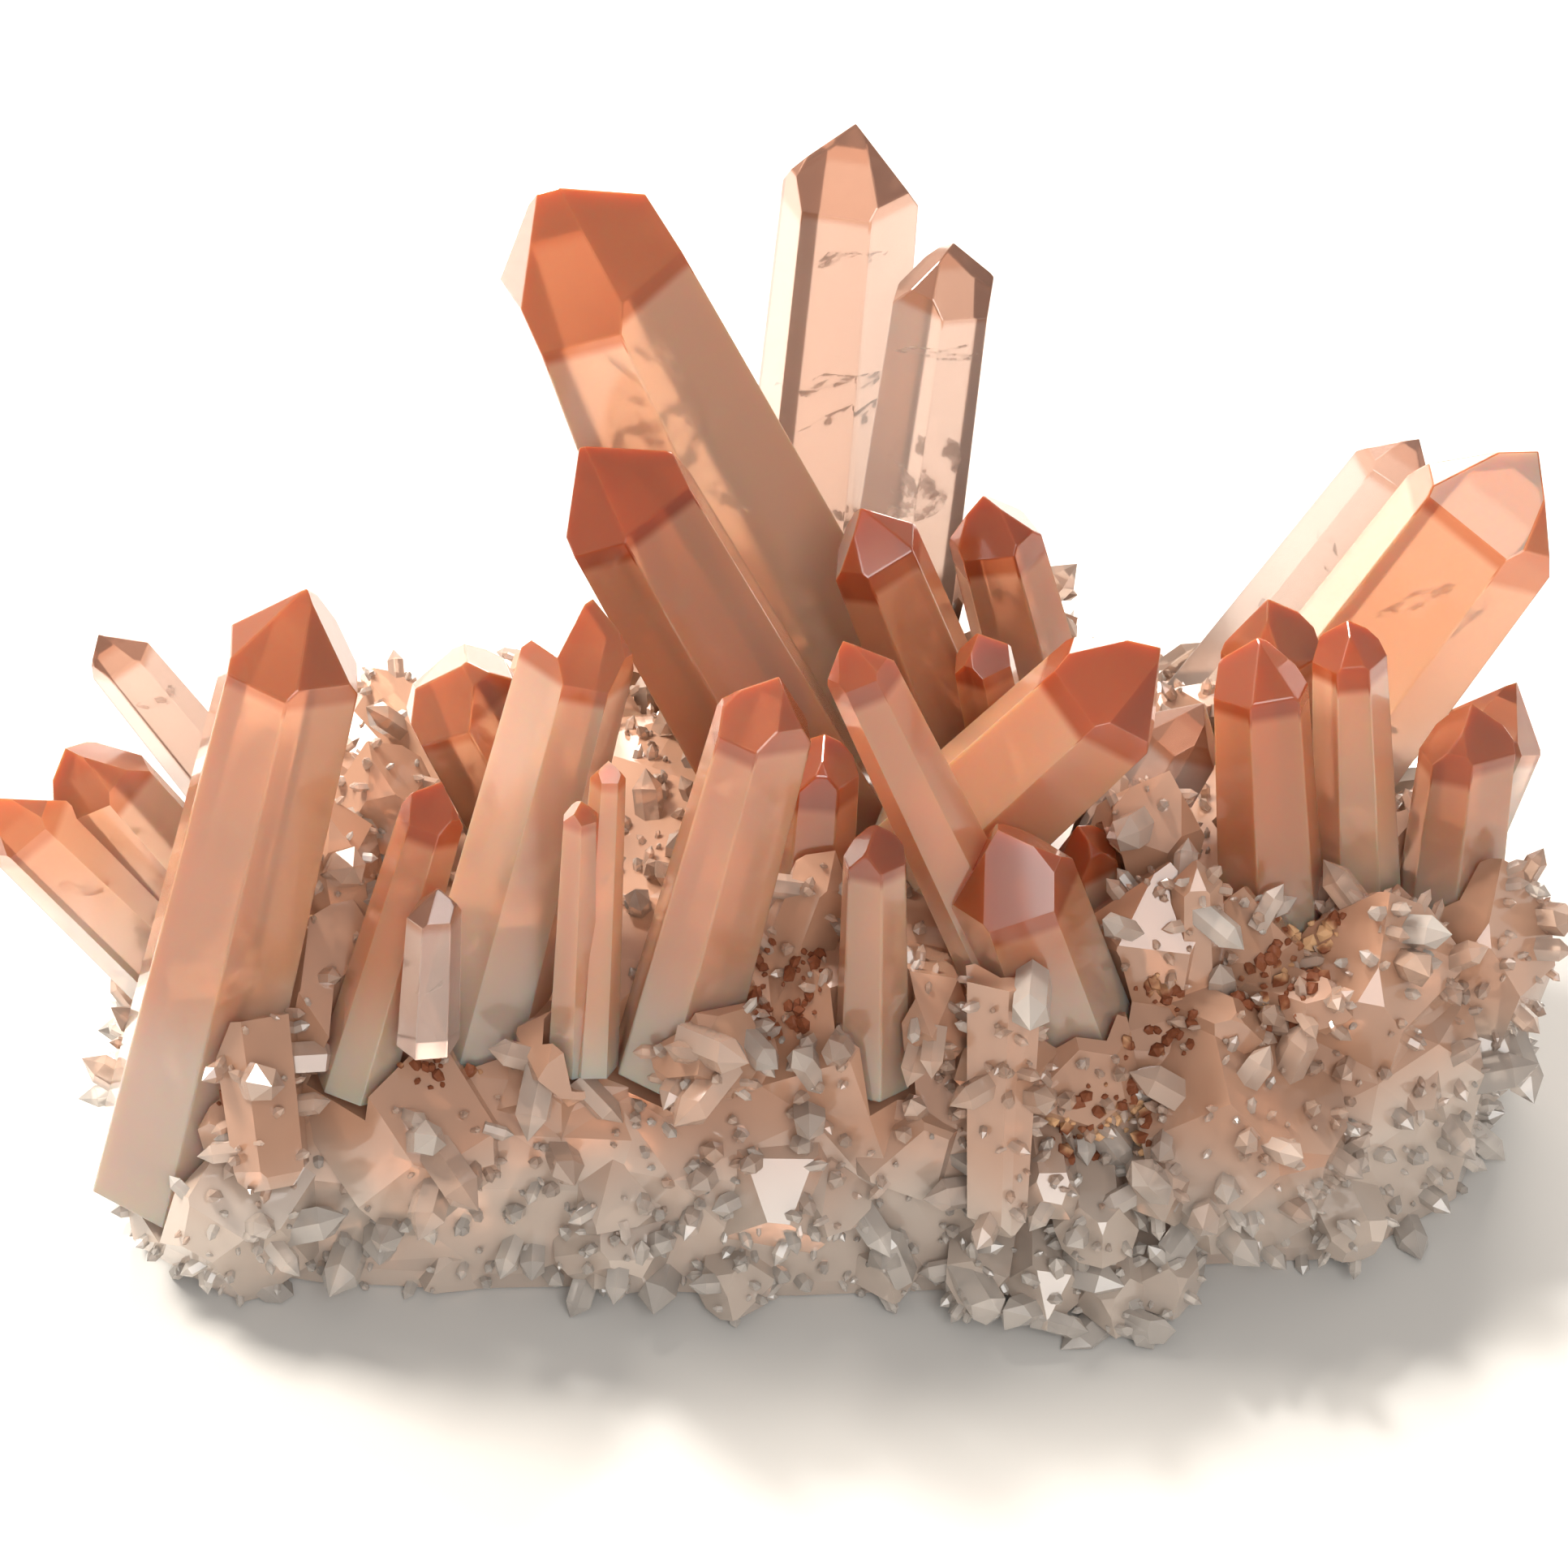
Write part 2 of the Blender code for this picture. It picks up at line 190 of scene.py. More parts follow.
# %% Node helper
class Wires:
    """Adds nodes to one tree. An input's value is a number, a colour or another node's output."""

    def __init__(self, tree):
        self.tree = tree

    def fill(self, socket, value):
        if isinstance(value, bpy.types.NodeSocket):
            self.tree.links.new(value, socket)
        else:
            socket.default_value = value

    def add(self, kind, inputs=None, **settings):
        made = self.tree.nodes.new(kind)
        for key, value in settings.items():
            setattr(made, key, value)
        for key, value in (inputs or {}).items():
            self.fill(made.inputs[key], value)
        return made

    def math(self, operation, *values):
        made = self.add("ShaderNodeMath", operation=operation)
        for index, value in enumerate(values):
            self.fill(made.inputs[index], value)
        return made.outputs[0]

    def scaled(self, vector, factors):
        made = self.add("ShaderNodeVectorMath", operation="MULTIPLY")
        self.fill(made.inputs[0], vector)
        made.inputs[1].default_value = factors
        return made.outputs[0]

    def ramp(self, value, low, high, start=0.0, end=1.0):
        """start up to low, end from high, and a smooth step between them."""
        inputs = {"Value": value, "From Min": low, "From Max": high, "To Min": start, "To Max": end}
        made = self.add("ShaderNodeMapRange", inputs, interpolation_type="SMOOTHSTEP")
        return made.outputs[0]

    def mix(self, share, first, second):
        made = self.add("ShaderNodeMix", data_type="RGBA")
        for index, value in ((0, share), (6, first), (7, second)):
            self.fill(made.inputs[index], value)
        return made.outputs[2]

    def noise(self, place, scale, detail=2.0, seed=0.0):
        inputs = {"Vector": place, "Scale": scale, "Detail": detail, "W": seed}
        return self.add("ShaderNodeTexNoise", inputs, noise_dimensions="4D").outputs[0]

    def attribute(self, name):
        return self.add("ShaderNodeAttribute", attribute_name=name)

    def in_millimetres(self):
        return self.scaled(self.add("ShaderNodeTexCoord").outputs["Object"], (1 / MM,) * 3)


def new_group(name, inputs, outputs):
    """A shader node group with named sockets, and the wires to fill it."""
    tree = bpy.data.node_groups.new(name, "ShaderNodeTree")
    for label, kind in inputs:
        tree.interface.new_socket(label, in_out="INPUT", socket_type=kind)
    for label, kind in outputs:
        tree.interface.new_socket(label, in_out="OUTPUT", socket_type=kind)
    wires = Wires(tree)
    return tree, wires, wires.add("NodeGroupInput").outputs, wires.add("NodeGroupOutput").inputs


FLOAT, COLOUR = "NodeSocketFloat", "NodeSocketColor"

# %% [markdown]
# ## What iron does to quartz
#
# Iron oxide settled on the growing crystal in layers. The newest layer lies right under the six end faces
# and is the darkest, with a crisp lower edge. The body below is salmon with pale streaks along its
# length, milky clouds and fine grain, and it turns pinkish white at the root. A painted picture would
# have to be unwrapped onto every crystal, and would stretch. A group of noises needs none of that. It
# reads four things stored on each mesh: the place inside its own crystal, the distance below the end
# faces, a number that is different for each crystal, and whether a face is etched and painted with glints.

# %% Group for the colours of stained quartz
# How far the patterns are spread inside a crystal. At 0 each crystal takes one even tint from them. At 1 its
# streaks, clouds, grain and pits show at their real size.
PATTERN_SPREAD = 0.0
NUMBER_SPREAD = 40.0
ROOT_BLEND = 5.0
END_BLEND = 0.25
# The colour of an etched face: its pale frost, with painted glints on it.
FROST_AND_GLINT_COLOUR = (0.97, 0.90, 0.84, 1)
SPECK_COLOUR = (0.22, 0.06, 0.02, 1)
SPECK_STRENGTH = 0.7


def stained_quartz_group():
    inputs = [
        ("Body", COLOUR),
        ("Pale", COLOUR),
        ("End", COLOUR),
        ("Root", COLOUR),
        ("End Reach", FLOAT),
        ("Cloud", FLOAT),
        ("Streak", FLOAT),
        ("Root Height", FLOAT),
    ]
    outputs = [("Colour", COLOUR), ("Roughness", FLOAT), ("Height", FLOAT)]
    tree, w, given, out = new_group("stained quartz", inputs, outputs)
    grown = w.scaled(w.attribute("grown").outputs["Vector"], (PATTERN_SPREAD,) * 3)
    under = w.attribute("under_end").outputs["Fac"]
    etched_and_glint = w.attribute("etched_and_glint").outputs["Fac"]
    seed = w.math("MULTIPLY", w.attribute("crystal").outputs["Fac"], NUMBER_SPREAD)
    place = w.add("ShaderNodeTexCoord").outputs["Object"]
    height = w.math("MULTIPLY", w.add("ShaderNodeSeparateXYZ", {0: place}).outputs[2], 1 / MM)

    # The noise for streaks is squeezed along the crystal, which draws it out into lines.
    streaks = w.noise(w.scaled(grown, (1, 1, 0.10)), 1.3, 4.0, seed)
    clouds = w.noise(grown, 0.32, 6.0, seed)
    grain = w.noise(grown, 5.0, 3.0, seed)
    ragged = w.noise(grown, 0.9, 4.0, seed)

    # Pale clouds and streaks in the body.
    cloud = w.math("MULTIPLY", w.ramp(clouds, 0.47, 0.62), given["Cloud"])
    streak = w.math("MULTIPLY", w.ramp(streaks, 0.46, 0.66), given["Streak"])
    body = w.mix(w.math("MAXIMUM", cloud, streak), given["Body"], given["Pale"])

    # The root fades in over a few millimetres, at an uneven height.
    root_edge = w.math("ADD", height, w.ramp(ragged, 0.3, 0.7, -3.0, 3.0))
    root_low = w.math("SUBTRACT", given["Root Height"], ROOT_BLEND)
    root = w.ramp(root_edge, root_low, given["Root Height"], 1.0, 0.0)
    body = w.mix(root, body, given["Root"])

    # The dark layer under the end faces stops at a crisp edge.
    end_edge = w.math("ADD", under, w.ramp(ragged, 0.3, 0.7, -0.35, 0.35))
    end_edge = w.math("SUBTRACT", end_edge, given["End Reach"])
    end = w.ramp(end_edge, -END_BLEND, END_BLEND, 1.0, 0.0)
    end = w.math("MULTIPLY", end, w.ramp(streaks, 0.30, 0.60, 0.72, 1.0))
    body = w.mix(end, body, given["End"])

    # An etched face is a crowd of tiny pits. It is painted bright: partly the pale frost of the pits, partly
    # painted glints.
    cells = w.add("ShaderNodeTexVoronoi", {"Vector": grown, "Scale": 2.2}, feature="F1").outputs["Distance"]
    frost_and_glint = w.math("MULTIPLY", etched_and_glint, w.ramp(cells, 0.15, 0.6, 0.95, 0.35))
    body = w.mix(frost_and_glint, body, FROST_AND_GLINT_COLOUR)

    # Iron specks come in patches.
    specks = w.add("ShaderNodeTexVoronoi", {"Vector": grown, "Scale": 0.55}, feature="F1").outputs["Distance"]
    patches = w.noise(grown, 0.16, 2.0, seed)
    speck = w.math("MULTIPLY", w.ramp(specks, 0.05, 0.13, 1.0, 0.0), w.ramp(patches, 0.52, 0.60))
    body = w.mix(w.math("MULTIPLY", speck, SPECK_STRENGTH), body, SPECK_COLOUR)

    # Fine grain darkens and lightens all of it.
    shaded = w.add("ShaderNodeVectorMath", {0: body}, operation="SCALE")
    w.fill(shaded.inputs["Scale"], w.ramp(grain, 0.35, 0.65, 0.88, 1.08))
    w.fill(out["Colour"], shaded.outputs[0])

    rough = w.math("ADD", w.ramp(grain, 0.3, 0.7, 0.10, 0.20), w.math("MULTIPLY", cloud, 0.12))
    w.fill(out["Roughness"], rough)

    # Growth lines cross the crystal, so their noise is squeezed the other way.
    lines = w.noise(w.scaled(grown, (0.25, 0.25, 3.0)), 1.6, 4.0, seed)
    waves = w.math("ADD", w.math("MULTIPLY", lines, 0.6), clouds)
    pits = w.math("MULTIPLY", w.math("MULTIPLY", cells, etched_and_glint), 2.5)
    w.fill(out["Height"], w.math("ADD", waves, pits))
    return tree


STAINED_QUARTZ = stained_quartz_group()
print(len(STAINED_QUARTZ.nodes), "nodes in the group")

# %% [markdown]
# ## Five kinds of stained quartz
#
# The points differ from dark amber to a nearly clear mauve, and the bed and the druse are paler still.
# They are one substance, so one function makes all five materials from a table. Light enters the stone,
# bends by quartz's own index, is coloured by the distance it travels, and partly scatters, which gives
# the milky glow.

# %% A material of stained quartz
QUARTZ_IOR = 1.54
POLISH_WEIGHT = 0.6
POLISH_ROUGHNESS = 0.04
RELIEF_STRENGTH = 0.25
RELIEF_DEPTH = 0.0002
# How far red, green and blue light scatter inside, in metres.
SOFT_REACH = (0.004, 0.0018, 0.001)
SOFT_SCALE = 0.5


def stained_quartz(name, look):
    """A material with one row of the table below."""
    material = bpy.data.materials.new(name)
    material.use_nodes = True
    w = Wires(material.node_tree)
    shader = material.node_tree.nodes["Principled BSDF"]
    output = material.node_tree.nodes["Material Output"]
    group = w.add("ShaderNodeGroup", node_tree=STAINED_QUARTZ)
    for label, value in look["group"].items():
        group.inputs[label].default_value = value
    relief = {"Height": group.outputs["Height"], "Strength": RELIEF_STRENGTH, "Distance": RELIEF_DEPTH}
    bump = w.add("ShaderNodeBump", relief)
    w.fill(shader.inputs["Base Color"], group.outputs["Colour"])
    w.fill(shader.inputs["Roughness"], group.outputs["Roughness"])
    w.fill(shader.inputs["Normal"], bump.outputs[0])
    shader.inputs["IOR"].default_value = QUARTZ_IOR
    shader.inputs["Transmission Weight"].default_value = look["clear"]
    shader.inputs["Coat Weight"].default_value = POLISH_WEIGHT
    shader.inputs["Coat Roughness"].default_value = POLISH_ROUGHNESS
    shader.inputs["Subsurface Weight"].default_value = look["soft"]
    shader.inputs["Subsurface Radius"].default_value = SOFT_REACH
    shader.inputs["Subsurface Scale"].default_value = SOFT_SCALE
    inside = w.add("ShaderNodeVolumeAbsorption", {"Color": look["glow"], "Density": look["depth"]})
    w.fill(output.inputs["Volume"], inside.outputs[0])
    return material


# %% The table of looks
# The group's own values, then how clear the stone is, the colour that light takes and how fast it takes it,
# and how much light scatters inside. Tiny crystals are too small to need any scattering.
LOOKS = {
    "amber": {
        "group": {
            "Body": (0.80, 0.34, 0.17, 1),
            "Pale": (0.93, 0.64, 0.46, 1),
            "End": (0.50, 0.12, 0.045, 1),
            "Root": (0.93, 0.66, 0.52, 1),
            "End Reach": 0.6,
            "Cloud": 0.65,
            "Streak": 0.6,
            "Root Height": 18,
        },
        "clear": 0.60,
        "glow": (1.0, 0.62, 0.38, 1),
        "depth": 80,
        "soft": 1.0,
    },
    "peach": {
        "group": {
            "Body": (0.86, 0.45, 0.27, 1),
            "Pale": (0.95, 0.78, 0.64, 1),
            "End": (0.60, 0.18, 0.07, 1),
            "Root": (0.94, 0.72, 0.60, 1),
            "End Reach": 0.5,
            "Cloud": 0.9,
            "Streak": 0.8,
            "Root Height": 18,
        },
        "clear": 0.62,
        "glow": (1.0, 0.72, 0.50, 1),
        "depth": 60,
        "soft": 1.0,
    },
    "mauve": {
        "group": {
            "Body": (0.86, 0.62, 0.52, 1),
            "Pale": (0.95, 0.87, 0.82, 1),
            "End": (0.62, 0.28, 0.17, 1),
            "Root": (0.94, 0.78, 0.68, 1),
            "End Reach": 0.3,
            "Cloud": 0.8,
            "Streak": 0.7,
            "Root Height": 16,
        },
        "clear": 0.72,
        "glow": (1.0, 0.84, 0.72, 1),
        "depth": 45,
        "soft": 0.0,
    },
    "bed": {
        "group": {
            "Body": (0.82, 0.46, 0.30, 1),
            "Pale": (0.95, 0.78, 0.66, 1),
            "End": (0.9, 0.6, 0.5, 1),
            "Root": (0.94, 0.78, 0.66, 1),
            "End Reach": 0.0,
            "Cloud": 1.0,
            "Streak": 0.4,
            "Root Height": 10,
        },
        "clear": 0.50,
        "glow": (1.0, 0.76, 0.60, 1),
        "depth": 50,
        "soft": 0.0,
    },
    "druse": {
        "group": {
            "Body": (0.90, 0.62, 0.47, 1),
            "Pale": (0.97, 0.88, 0.80, 1),
            "End": (0.92, 0.72, 0.60, 1),
            "Root": (0.97, 0.88, 0.80, 1),
            "End Reach": 0.0,
            "Cloud": 1.0,
            "Streak": 0.4,
            "Root Height": 10,
        },
        "clear": 0.62,
        "glow": (1.0, 0.86, 0.76, 1),
        "depth": 40,
        "soft": 0.0,
    },
}
materials = {name: stained_quartz(name + " quartz", values) for name, values in LOOKS.items()}
print(len(materials), "materials")

# %% [markdown]
# ## The points
#
# Each point starts from a copy of its CAD solid, which is loose triangles. Its corners are merged and
# flat neighbours are joined, so that every crystal face is one face again. A narrow bevel then rounds the
# edges, as on real quartz, where they catch the light. Modelling them again from scratch would be neater,
# but a copy is sure to fill the same room as the solid. Twins that grew through each other are one mesh,
# and every face finds the crystal it belongs to.

# %% Where each crystal stands
# The look of each point, and the foot, tip and width of each of its crystals.
POINTS = {
    "tall_back_point": ("mauve", [((1.2, 19.2, 8.0), (3.5, 21.0, 37.6), 6.4)]),
    "back_right_point": ("mauve", [((5.7, 13.8, 8.0), (8.3, 16.0, 34.0), 5.4)]),
    "great_point": ("peach", [((1.6, 5.4, 11.0), (-10.4, 7.6, 41.9), 10.2)]),
    "right_back_point": ("amber", [((14.4, 5.0, 8.0), (9.6, 6.0, 26.0), 4.2)]),
    "hind_left_point": ("peach", [((-6.0, 12.5, 4.0), (-6.5, 20.0, 12.5), 4.6)]),
    "hind_right_point": ("peach", [((11.5, 12.0, 3.0), (11.0, 20.5, 12.0), 4.4)]),
    "second_point": ("amber", [((3.0, -6.0, 11.5), (-8.8, -1.2, 33.8), 6.2)]),
    "glitter_tip_point": ("amber", [((11.0, -0.4, 9.0), (3.6, 0.0, 29.5), 4.5)]),
    "small_amber_point": ("amber", [((11.7, -3.9, 12.0), (8.9, -4.4, 25.6), 2.7)]),
    "cross_right_point": ("amber", [((6.8, -9.0, 16.0), (16.7, -8.4, 27.8), 5.4)]),
    "broken_point": ("peach", [((-10.8, -4.5, 11.5), (-16.5, -2.0, 23.4), 5.8)]),
    "tucked_point": ("amber", [((1.0, -12.5, 12.0), (1.8, -10.0, 24.2), 3.3)]),
    "dark_mid_point": ("amber", [((16.4, -10.6, 7.0), (13.6, -8.8, 17.8), 3.2)]),
    "parallel_points": (
        "amber",
        [((11.2, -15.5, 12.0), (2.6, -12.0, 31.0), 3.2), ((13.8, -15.0, 9.0), (9.4, -15.2, 23.0), 5.4)],
    ),
    "front_centre_point": ("amber", [((-5.2, -17.5, 11.0), (-0.3, -14.2, 30.8), 4.1)]),
    "left_centre_point": ("peach", [((-14.5, -15.5, 9.0), (-8.4, -8.0, 30.2), 5.2)]),
    "slim_points": (
        "peach",
        [((-8.7, -18.7, 12.0), (-7.5, -16.0, 27.6), 1.7), ((-9.6, -18.6, 12.0), (-8.7, -17.0, 26.2), 1.6)],
    ),
    "centre_rod": ("amber", [((4.0, -18.6, 11.0), (4.0, -16.0, 24.0), 2.7)]),
    "left_great_point": ("peach", [((-29.0, -17.6, 4.0), (-20.2, -13.0, 34.5), 6.1)]),
    "left_clear_point": ("mauve", [((-22.7, -3.6, 8.0), (-31.6, -3.6, 24.9), 3.2)]),
    "left_twin": (
        "peach",
        [((-24.2, -8.2, 6.0), (-33.0, -7.4, 21.2), 4.5), ((-26.2, -10.4, 6.0), (-35.9, -10.2, 20.6), 4.0)],
    ),
    "small_left_point": ("amber", [((-19.6, -18.8, 11.0), (-15.0, -14.0, 24.8), 2.9)]),
    "window_point": ("mauve", [((-15.8, -19.3, 14.0), (-15.0, -18.2, 22.3), 2.2)]),
    "right_outer_great": ("peach", [((22.0, 1.6, 6.0), (35.4, 4.5, 29.6), 7.4)]),
    "right_clear_point": ("mauve", [((19.5, 8.6, 6.0), (31.2, 10.8, 26.0), 3.9)]),
    "right_short_point": ("peach", [((23.8, -5.2, 10.0), (22.5, -1.6, 25.4), 4.3)]),
    "right_front_point": ("amber", [((23.2, -10.6, 10.0), (21.4, -6.0, 26.6), 4.3)]),
    "right_slim_point": ("amber", [((27.4, -8.8, 10.0), (25.8, -4.0, 26.0), 3.4)]),
    "right_pale_slab": ("mauve", [((13.9, -5.8, 9.0), (19.6, -4.2, 21.4), 3.9)]),
    "right_side_point": ("amber", [((31.6, -8.4, 6.5), (32.3, -3.6, 20.8), 4.2)]),
    "right_edge_point": ("peach", [((32.0, -1.0, 7.0), (36.0, 3.0, 16.8), 4.2)]),
}
# The end faces of quartz lean 38.2 degrees from its long axis.
END_SLOPE = math.tan(math.radians(38.2))
# Which way the etched end face of a point looks. That face gets pale frost and painted glints.
ETCHED_GLINT_SIDES = {
    "glitter_tip_point": (-0.75, -0.35, 0.55),
    "right_outer_great": (-0.3, -0.5, 0.8),
}
print(sum(len(rows) for _, rows in POINTS.values()), "crystals in", len(POINTS), "points")

# %% Copy a solid and round its edges
MERGE_DISTANCE = 0.002
FLAT_ANGLE = math.radians(0.8)
SHARP_ANGLE = math.radians(10)
EDGE_ROUNDING = 0.09


def clean_copy(node_name):
    """The node's mesh in millimetres, with its corners merged and its flat faces whole."""
    bm = bmesh.new()
    bm.from_mesh(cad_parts[node_name].data)
    bmesh.ops.scale(bm, vec=(1 / MM,) * 3, verts=bm.verts)
    bmesh.ops.remove_doubles(bm, verts=bm.verts, dist=MERGE_DISTANCE)
    bmesh.ops.dissolve_limit(bm, angle_limit=FLAT_ANGLE, verts=bm.verts, edges=bm.edges)
    for face in bm.faces:
        face.smooth = False
    return bm


def round_edges(bm):
    sharp = [edge for edge in bm.edges if edge.calc_face_angle(0) > SHARP_ANGLE]
    bmesh.ops.bevel(
        bm,
        geom=sharp,
        offset=EDGE_ROUNDING,
        segments=2,
        profile=0.6,
        affect="EDGES",
        clamp_overlap=True,
    )


# %% Tell each face which crystal it belongs to
# A face belongs to an axis if it lies near it, in millimetres, and leans as a side face or an end face does.
LEAN_WEIGHT = 4
END_FACE_LEAN = 0.62
SMALLEST_END = 0.8


def crystal_frames(rows):
    """For each crystal: its tip, and the turn that stands it upright."""
    frames = []
    for foot, tip, _ in rows:
        stand = (Vector(tip) - Vector(foot)).to_track_quat("Z", "Y")
        frames.append((Vector(tip), stand.inverted()))
    return frames


def owner(face, frames):
    """The crystal whose long axis the face runs along best and lies nearest to."""
    if len(frames) == 1:
        return 0
    middle = face.calc_center_median()
    scores = []
    for tip, upright in frames:
        local = upright @ (middle - tip)
        across = upright @ face.normal
        lean = min(abs(across.z), abs(across.z - END_FACE_LEAN))
        scores.append(math.hypot(local.x, local.y) + LEAN_WEIGHT * lean)
    return scores.index(min(scores))


def store(mesh, label, domain, values):
    """Writes an array to a new attribute: rows of three numbers as vectors, and a plain row as numbers."""
    if values.ndim == 2:
        mesh.attributes.new(label, "FLOAT_VECTOR", domain).data.foreach_set("vector", values.ravel())
    else:
        mesh.attributes.new(label, "FLOAT", domain).data.foreach_set("value", values)


def mark_growth(mesh, name, rows):
    """Stores the place inside the crystal, the distance below the end faces and the crystal's own number."""
    frames = crystal_frames(rows)
    chance = random.Random(name)
    numbers = [chance.random() for _ in rows]
    grown = np.zeros((len(mesh.loops), 3), np.float32)
    under = np.zeros(len(mesh.loops), np.float32)
    own = np.zeros(len(mesh.polygons), np.float32)
    etched_and_glint = np.zeros(len(mesh.polygons), np.float32)
    bm = bmesh.new()
    bm.from_mesh(mesh)
    # The end face that looks most that way is etched, and gets painted glints.
    if name in ETCHED_GLINT_SIDES:
        facing = Vector(ETCHED_GLINT_SIDES[name])
        ends = [face for face in bm.faces if face.calc_area() > SMALLEST_END]
        etched_and_glint[max(ends, key=lambda face: face.normal.dot(facing)).index] = 1.0
    for face in bm.faces:
        index = owner(face, frames)
        tip, upright = frames[index]
        across = upright @ face.normal
        out = Vector((across.x, across.y)).normalized()
        own[face.index] = numbers[index]
        for loop in face.loops:
            local = upright @ (loop.vert.co - tip)
            reach = out.x * local.x + out.y * local.y
            grown[loop.index] = (local.x, local.y, -local.z)
            under[loop.index] = -local.z - reach / END_SLOPE
    bm.free()
    store(mesh, "grown", "CORNER", grown)
    store(mesh, "under_end", "CORNER", under)
    store(mesh, "crystal", "FACE", own)
    store(mesh, "etched_and_glint", "FACE", etched_and_glint)


def finish_piece(name, mesh, material, node_name):
    """Puts a mesh that is ready, in metres, into the scene as a piece that stands for a CAD node."""
    # Corner normals that came with the CAD mesh would bend the light on new, flat faces.
    if "custom_normal" in mesh.attributes:
        mesh.attributes.remove(mesh.attributes["custom_normal"])
    mesh.materials.append(material)
    piece = link_object(name, mesh)
    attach(piece, "root")
    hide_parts(node_name)


for name, (finish, rows) in POINTS.items():
    bm = clean_copy(name)
    round_edges(bm)
    mesh = bpy.data.meshes.new(name + "_crystal")
    bm.to_mesh(mesh)
    bm.free()
    mark_growth(mesh, name, rows)
    mesh.transform(Matrix.Scale(MM, 4))
    finish_piece(name + "_crystal", mesh, materials[finish], name)
print(len(POINTS), "points")

# %% [markdown]
# ## Healed cracks inside the points
#
# Quartz that cracked while it grew has healed since, which leaves wispy veils that float inside it. Each
# veil is a thin, wavy lens sealed in its crystal, with a pattern of holes in its alpha. A drawing on the
# surface would slide when the stone is turned, but a sealed veil stays at its own depth.

# %% The finish of a veil
VEIL_COLOUR = (0.97, 0.86, 0.78, 1)
VEIL_ROUGHNESS = 0.25
VEIL_COVER = 0.75


def veil_material():
    material = bpy.data.materials.new("healed crack")
    material.use_nodes = True
    w = Wires(material.node_tree)
    shader = material.node_tree.nodes["Principled BSDF"]
    wisps = w.noise(w.in_millimetres(), 0.9, 3.0, 2.0)
    shader.inputs["Base Color"].default_value = VEIL_COLOUR
    shader.inputs["Roughness"].default_value = VEIL_ROUGHNESS
    w.fill(shader.inputs["Alpha"], w.ramp(wisps, 0.46, 0.66, 0.0, VEIL_COVER))
    return material


# %% Make the veils
VEIL_SPACING = 5.0
VEIL_SHARE = 0.40
VEIL_OVAL = 0.7
VEIL_THICKNESS = 0.03
VEIL_WAVE = 0.5
WAVE_SCALE = 0.6


def add_veil(bm, middle, tilt, radius, chance):
    """A flat, wavy, oval lens."""
    made = bmesh.ops.create_icosphere(bm, subdivisions=2, radius=1)
    shift = Vector((chance.random(), chance.random(), chance.random())) * 20
    for vert in made["verts"]:
        flat = Vector((vert.co.x * radius, vert.co.y * radius * VEIL_OVAL, vert.co.z * VEIL_THICKNESS))
        flat.z += VEIL_WAVE * noise.noise(Vector((flat.x, flat.y, 0)) * WAVE_SCALE + shift)
        vert.co = middle + tilt @ flat


def make_veils():
    bm = bmesh.new()
    chance = random.Random(5)
    count = 0
    for _, rows in POINTS.values():
        for foot, tip, width in rows:
            foot, tip = Vector(foot), Vector(tip)
            stand = (tip - foot).to_track_quat("Z", "Y")
            steps = int(((tip - foot).length - width) / VEIL_SPACING)
            for step in range(steps):
                along = (step + chance.uniform(0.2, 0.8)) / steps
                middle = foot.lerp(tip, 0.15 + 0.7 * along)
                lean = Matrix.Rotation(chance.uniform(0.5, 1.2), 3, Vector((chance.uniform(-1, 1), 1, 0)))
                tilt = stand.to_matrix() @ Matrix.Rotation(chance.uniform(0, 6.3), 3, "Z") @ lean
                add_veil(bm, middle, tilt, width * VEIL_SHARE * chance.uniform(0.6, 1.0), chance)
                count += 1
    mesh = bpy.data.meshes.new("healed_cracks")
    bm.to_mesh(mesh)
    bm.free()
    mesh.transform(Matrix.Scale(MM, 4))
    mesh.materials.append(veil_material())
    veils = link_object("healed_cracks", mesh)
    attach(veils, "root")
    print(count, "veils")


make_veils()

# %% [markdown]
# ## The bed
#
# The bed is a crowd of short, blocky crystals. Its large ones are in the CAD solid, whose copy gets a
# paler finish. Wherever a free point stands in its socket the bed is hidden, so each face of the bed is
# marked as open or covered before anything is grown on it. Testing every face against every point is slow
# for large meshes, but the bed has only a few thousand faces.

# %% Find the open faces of the bed
SOCKET_SHARE = 0.58
SOCKET_MARGIN = 0.6
SOCKET_DEPTH = 1
LOWEST_OPEN = 0.3
FAR_FROM_ENDS = 9.0


def covered(place):
    """True inside the socket of one of the points."""
    for _, rows in POINTS.values():
        for foot, tip, width in rows:
            foot, tip = Vector(foot), Vector(tip)
            axis = (tip - foot).normalized()
            along = (place - foot).dot(axis)
            away = (place - foot - axis * along).length
            beside = -SOCKET_DEPTH < along < (tip - foot).length
            if beside and away < width * SOCKET_SHARE + SOCKET_MARGIN:
                return True
    return False


def mark_plain(mesh):
    """Stores the place in the mesh, and a distance that is far from any end face."""
    places = np.array([mesh.vertices[loop.vertex_index].co for loop in mesh.loops], np.float32)
    store(mesh, "grown", "CORNER", places)
    store(mesh, "under_end", "CORNER", np.full(len(mesh.loops), FAR_FROM_ENDS, np.float32))


def mark_bed(mesh):
    """Stores what the stained quartz group reads, and which faces are open."""
    mark_plain(mesh)
    chance = random.Random(8)
    numbers = [chance.random() * 0.02 for _ in mesh.polygons]
    store(mesh, "crystal", "FACE", np.array(numbers, np.float32))
    is_open = [face.center.z >= LOWEST_OPEN and not covered(face.center) for face in mesh.polygons]
    store(mesh, "open", "FACE", np.array(is_open, np.float32))


